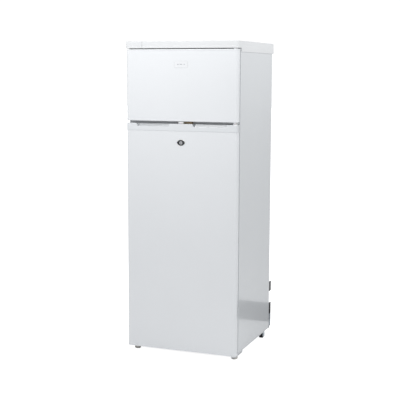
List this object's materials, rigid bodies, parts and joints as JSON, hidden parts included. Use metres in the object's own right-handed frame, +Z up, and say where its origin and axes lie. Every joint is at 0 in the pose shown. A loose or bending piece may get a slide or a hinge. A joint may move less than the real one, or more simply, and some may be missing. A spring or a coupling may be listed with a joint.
{
  "type": "top freezer refrigerator",
  "caption": "Free-standing two-door refrigerator with the freezer on top, finger pockets in the door trim, a key lock and a rear condenser.",
  "frame": {"origin": "on the floor under the middle of the object's box", "axes": "+X to the viewer's right (hinge side), -Y towards the viewer in front, +Z up"},
  "size_m": [0.545, 0.566, 1.45],
  "materials": {
    "cabinet_paint": "glossy baked paint, pale grey-white",
    "door_paint": "glossy baked paint, white",
    "rear_sheet": "satin pre-painted sheet",
    "galvanised_steel": "galvanised sheet, faint spangle",
    "hinge_steel": "grey enamelled steel",
    "screw_steel": "zinc plated",
    "plated_bracket": "yellow zinc plated steel",
    "liner_plastic": "thermoformed white plastic",
    "cover_plastic": "moulded white plastic",
    "door_cap_plastic": "moulded white plastic",
    "trim_plastic": "moulded pale grey plastic",
    "white_plastic": "moulded white plastic",
    "grey_plastic": "moulded grey plastic",
    "black_plastic": "moulded black plastic",
    "foot_plastic": "moulded warm grey plastic",
    "clear_plastic": "clear moulded plastic",
    "lamp_plastic": "frosted clear plastic",
    "insulation_foam": "rigid foam",
    "gasket_rubber": "soft pale extrusion",
    "black_rubber": "moulded rubber",
    "badge_metal": "satin silver plate",
    "lock_chrome": "polished",
    "black_enamel": "black enamel",
    "copper": "drawn copper tube",
    "evaporator_aluminium": "roll-bonded sheet",
    "white_wire": "plastic coated wire",
    "shelf_glass": "clear toughened glass"
  },
  "bodies": {
    "cabinet": {"base_rail": "hinge_steel", "bottom_hinge": "hinge_steel", "cabinet_foam": "insulation_foam", "compressor": "black_enamel", "compressor_bay_deck": "galvanised_steel", "compressor_grommets": "black_rubber", "compressor_tray": "galvanised_steel", "condenser_brackets": "black_plastic", "condenser_tube": "black_enamel", "condenser_wires": "black_enamel", "drip_tray": "grey_plastic", "evaporator": "evaporator_aluminium", "freezer_liner": "liner_plastic", "freezer_shelf": "white_wire", "fridge_liner": "liner_plastic", "hinge_screws": "screw_steel", "keeper_block": "white_plastic", "keeper_bracket": "plated_bracket", "lamp_lens": "lamp_plastic", "middle_hinge": "hinge_steel", "mullion_bar": "cabinet_paint", "outer_shell": "cabinet_paint", "rear_guards": "black_plastic", "rear_panel": "rear_sheet", "refrigerant_pipes": "copper", "relay_cover": "black_plastic", "shelf_glass": "shelf_glass", "shelf_trims": "white_plastic", "thermostat_box": "liner_plastic", "top_cover": "cover_plastic", "top_cover_end_cap": "cover_plastic", "top_hinge": "hinge_steel"},
    "freezer_door": {"freezer_door_bottom_cap": "door_cap_plastic", "freezer_door_bushes": "white_plastic", "freezer_door_foam": "insulation_foam", "freezer_door_gasket": "gasket_rubber", "freezer_door_liner": "liner_plastic", "freezer_door_panel": "door_paint", "freezer_door_rack": "clear_plastic", "freezer_door_top_cap": "door_cap_plastic", "badge": "badge_metal"},
    "fridge_door": {"fridge_door_bottom_cap": "door_cap_plastic", "fridge_door_bushes": "white_plastic", "fridge_door_foam": "insulation_foam", "fridge_door_gasket": "gasket_rubber", "fridge_door_liner": "liner_plastic", "fridge_door_panel": "door_paint", "fridge_door_trim": "trim_plastic", "door_shelves": "clear_plastic", "lock_escutcheon": "black_plastic", "lock_case": "white_plastic"},
    "lock_cylinder": {"lock_cylinder": "lock_chrome"},
    "lock_bolt": {"lock_bolt": "plated_bracket"},
    "foot_left": {"front_foot_left": "foot_plastic"},
    "foot_right": {"front_foot_right": "foot_plastic"},
    "roller_left": {"rear_roller_left": "black_plastic"},
    "roller_right": {"rear_roller_right": "black_plastic"},
    "thermostat_knob": {"thermostat_knob": "grey_plastic"},
    "switch_plunger": {"switch_plunger": "white_plastic"},
    "crisper_drawer": {"crisper_drawer": "clear_plastic"}
  },
  "joints": [
    {"name": "freezer_door_hinge", "type": "hinge", "parent": "cabinet", "child": "freezer_door", "pos_m": [0.255, -0.269, 1.25], "axis": [0, 0, 1], "range_deg": [0, 130]},
    {"name": "fridge_door_hinge", "type": "hinge", "parent": "cabinet", "child": "fridge_door", "pos_m": [0.255, -0.269, 0.55], "axis": [0, 0, 1], "range_deg": [0, 130]},
    {"name": "lock_turn", "type": "hinge", "parent": "fridge_door", "child": "lock_cylinder", "pos_m": [0, -0.283, 0.995], "axis": [0, -1, 0], "range_deg": [0, 90]},
    {"name": "lock_bolt_slide", "type": "slide", "parent": "fridge_door", "child": "lock_bolt", "axis": [0, 0, 1], "range_m": [0, 0.01697]},
    {"name": "foot_left_screw", "type": "slide", "parent": "cabinet", "child": "foot_left", "axis": [0, 0, -1], "range_m": [0, 0.01]},
    {"name": "foot_right_screw", "type": "slide", "parent": "cabinet", "child": "foot_right", "axis": [0, 0, -1], "range_m": [0, 0.01]},
    {"name": "roller_left_spin", "type": "hinge", "parent": "cabinet", "child": "roller_left", "pos_m": [-0.255, 0.161, 0.018], "axis": [1, 0, 0], "continuous": true},
    {"name": "roller_right_spin", "type": "hinge", "parent": "cabinet", "child": "roller_right", "pos_m": [0.255, 0.161, 0.018], "axis": [1, 0, 0], "continuous": true},
    {"name": "thermostat_turn", "type": "hinge", "parent": "cabinet", "child": "thermostat_knob", "pos_m": [0.105, -0.12, 1.01], "axis": [0, 0, -1], "range_deg": [0, 270]},
    {"name": "switch_press", "type": "slide", "parent": "cabinet", "child": "switch_plunger", "axis": [0, 1, 0], "range_m": [0, 0.003], "stiffness_N_per_m": 150, "springref_m": -0.002},
    {"name": "drawer_slide", "type": "slide", "parent": "cabinet", "child": "crisper_drawer", "axis": [0, -1, 0], "range_m": [0, 0.032]}
  ],
  "couplings": [
    {"joint": "lock_turn", "follows": "lock_bolt_slide", "rad_per_m": 92.56}
  ]
}
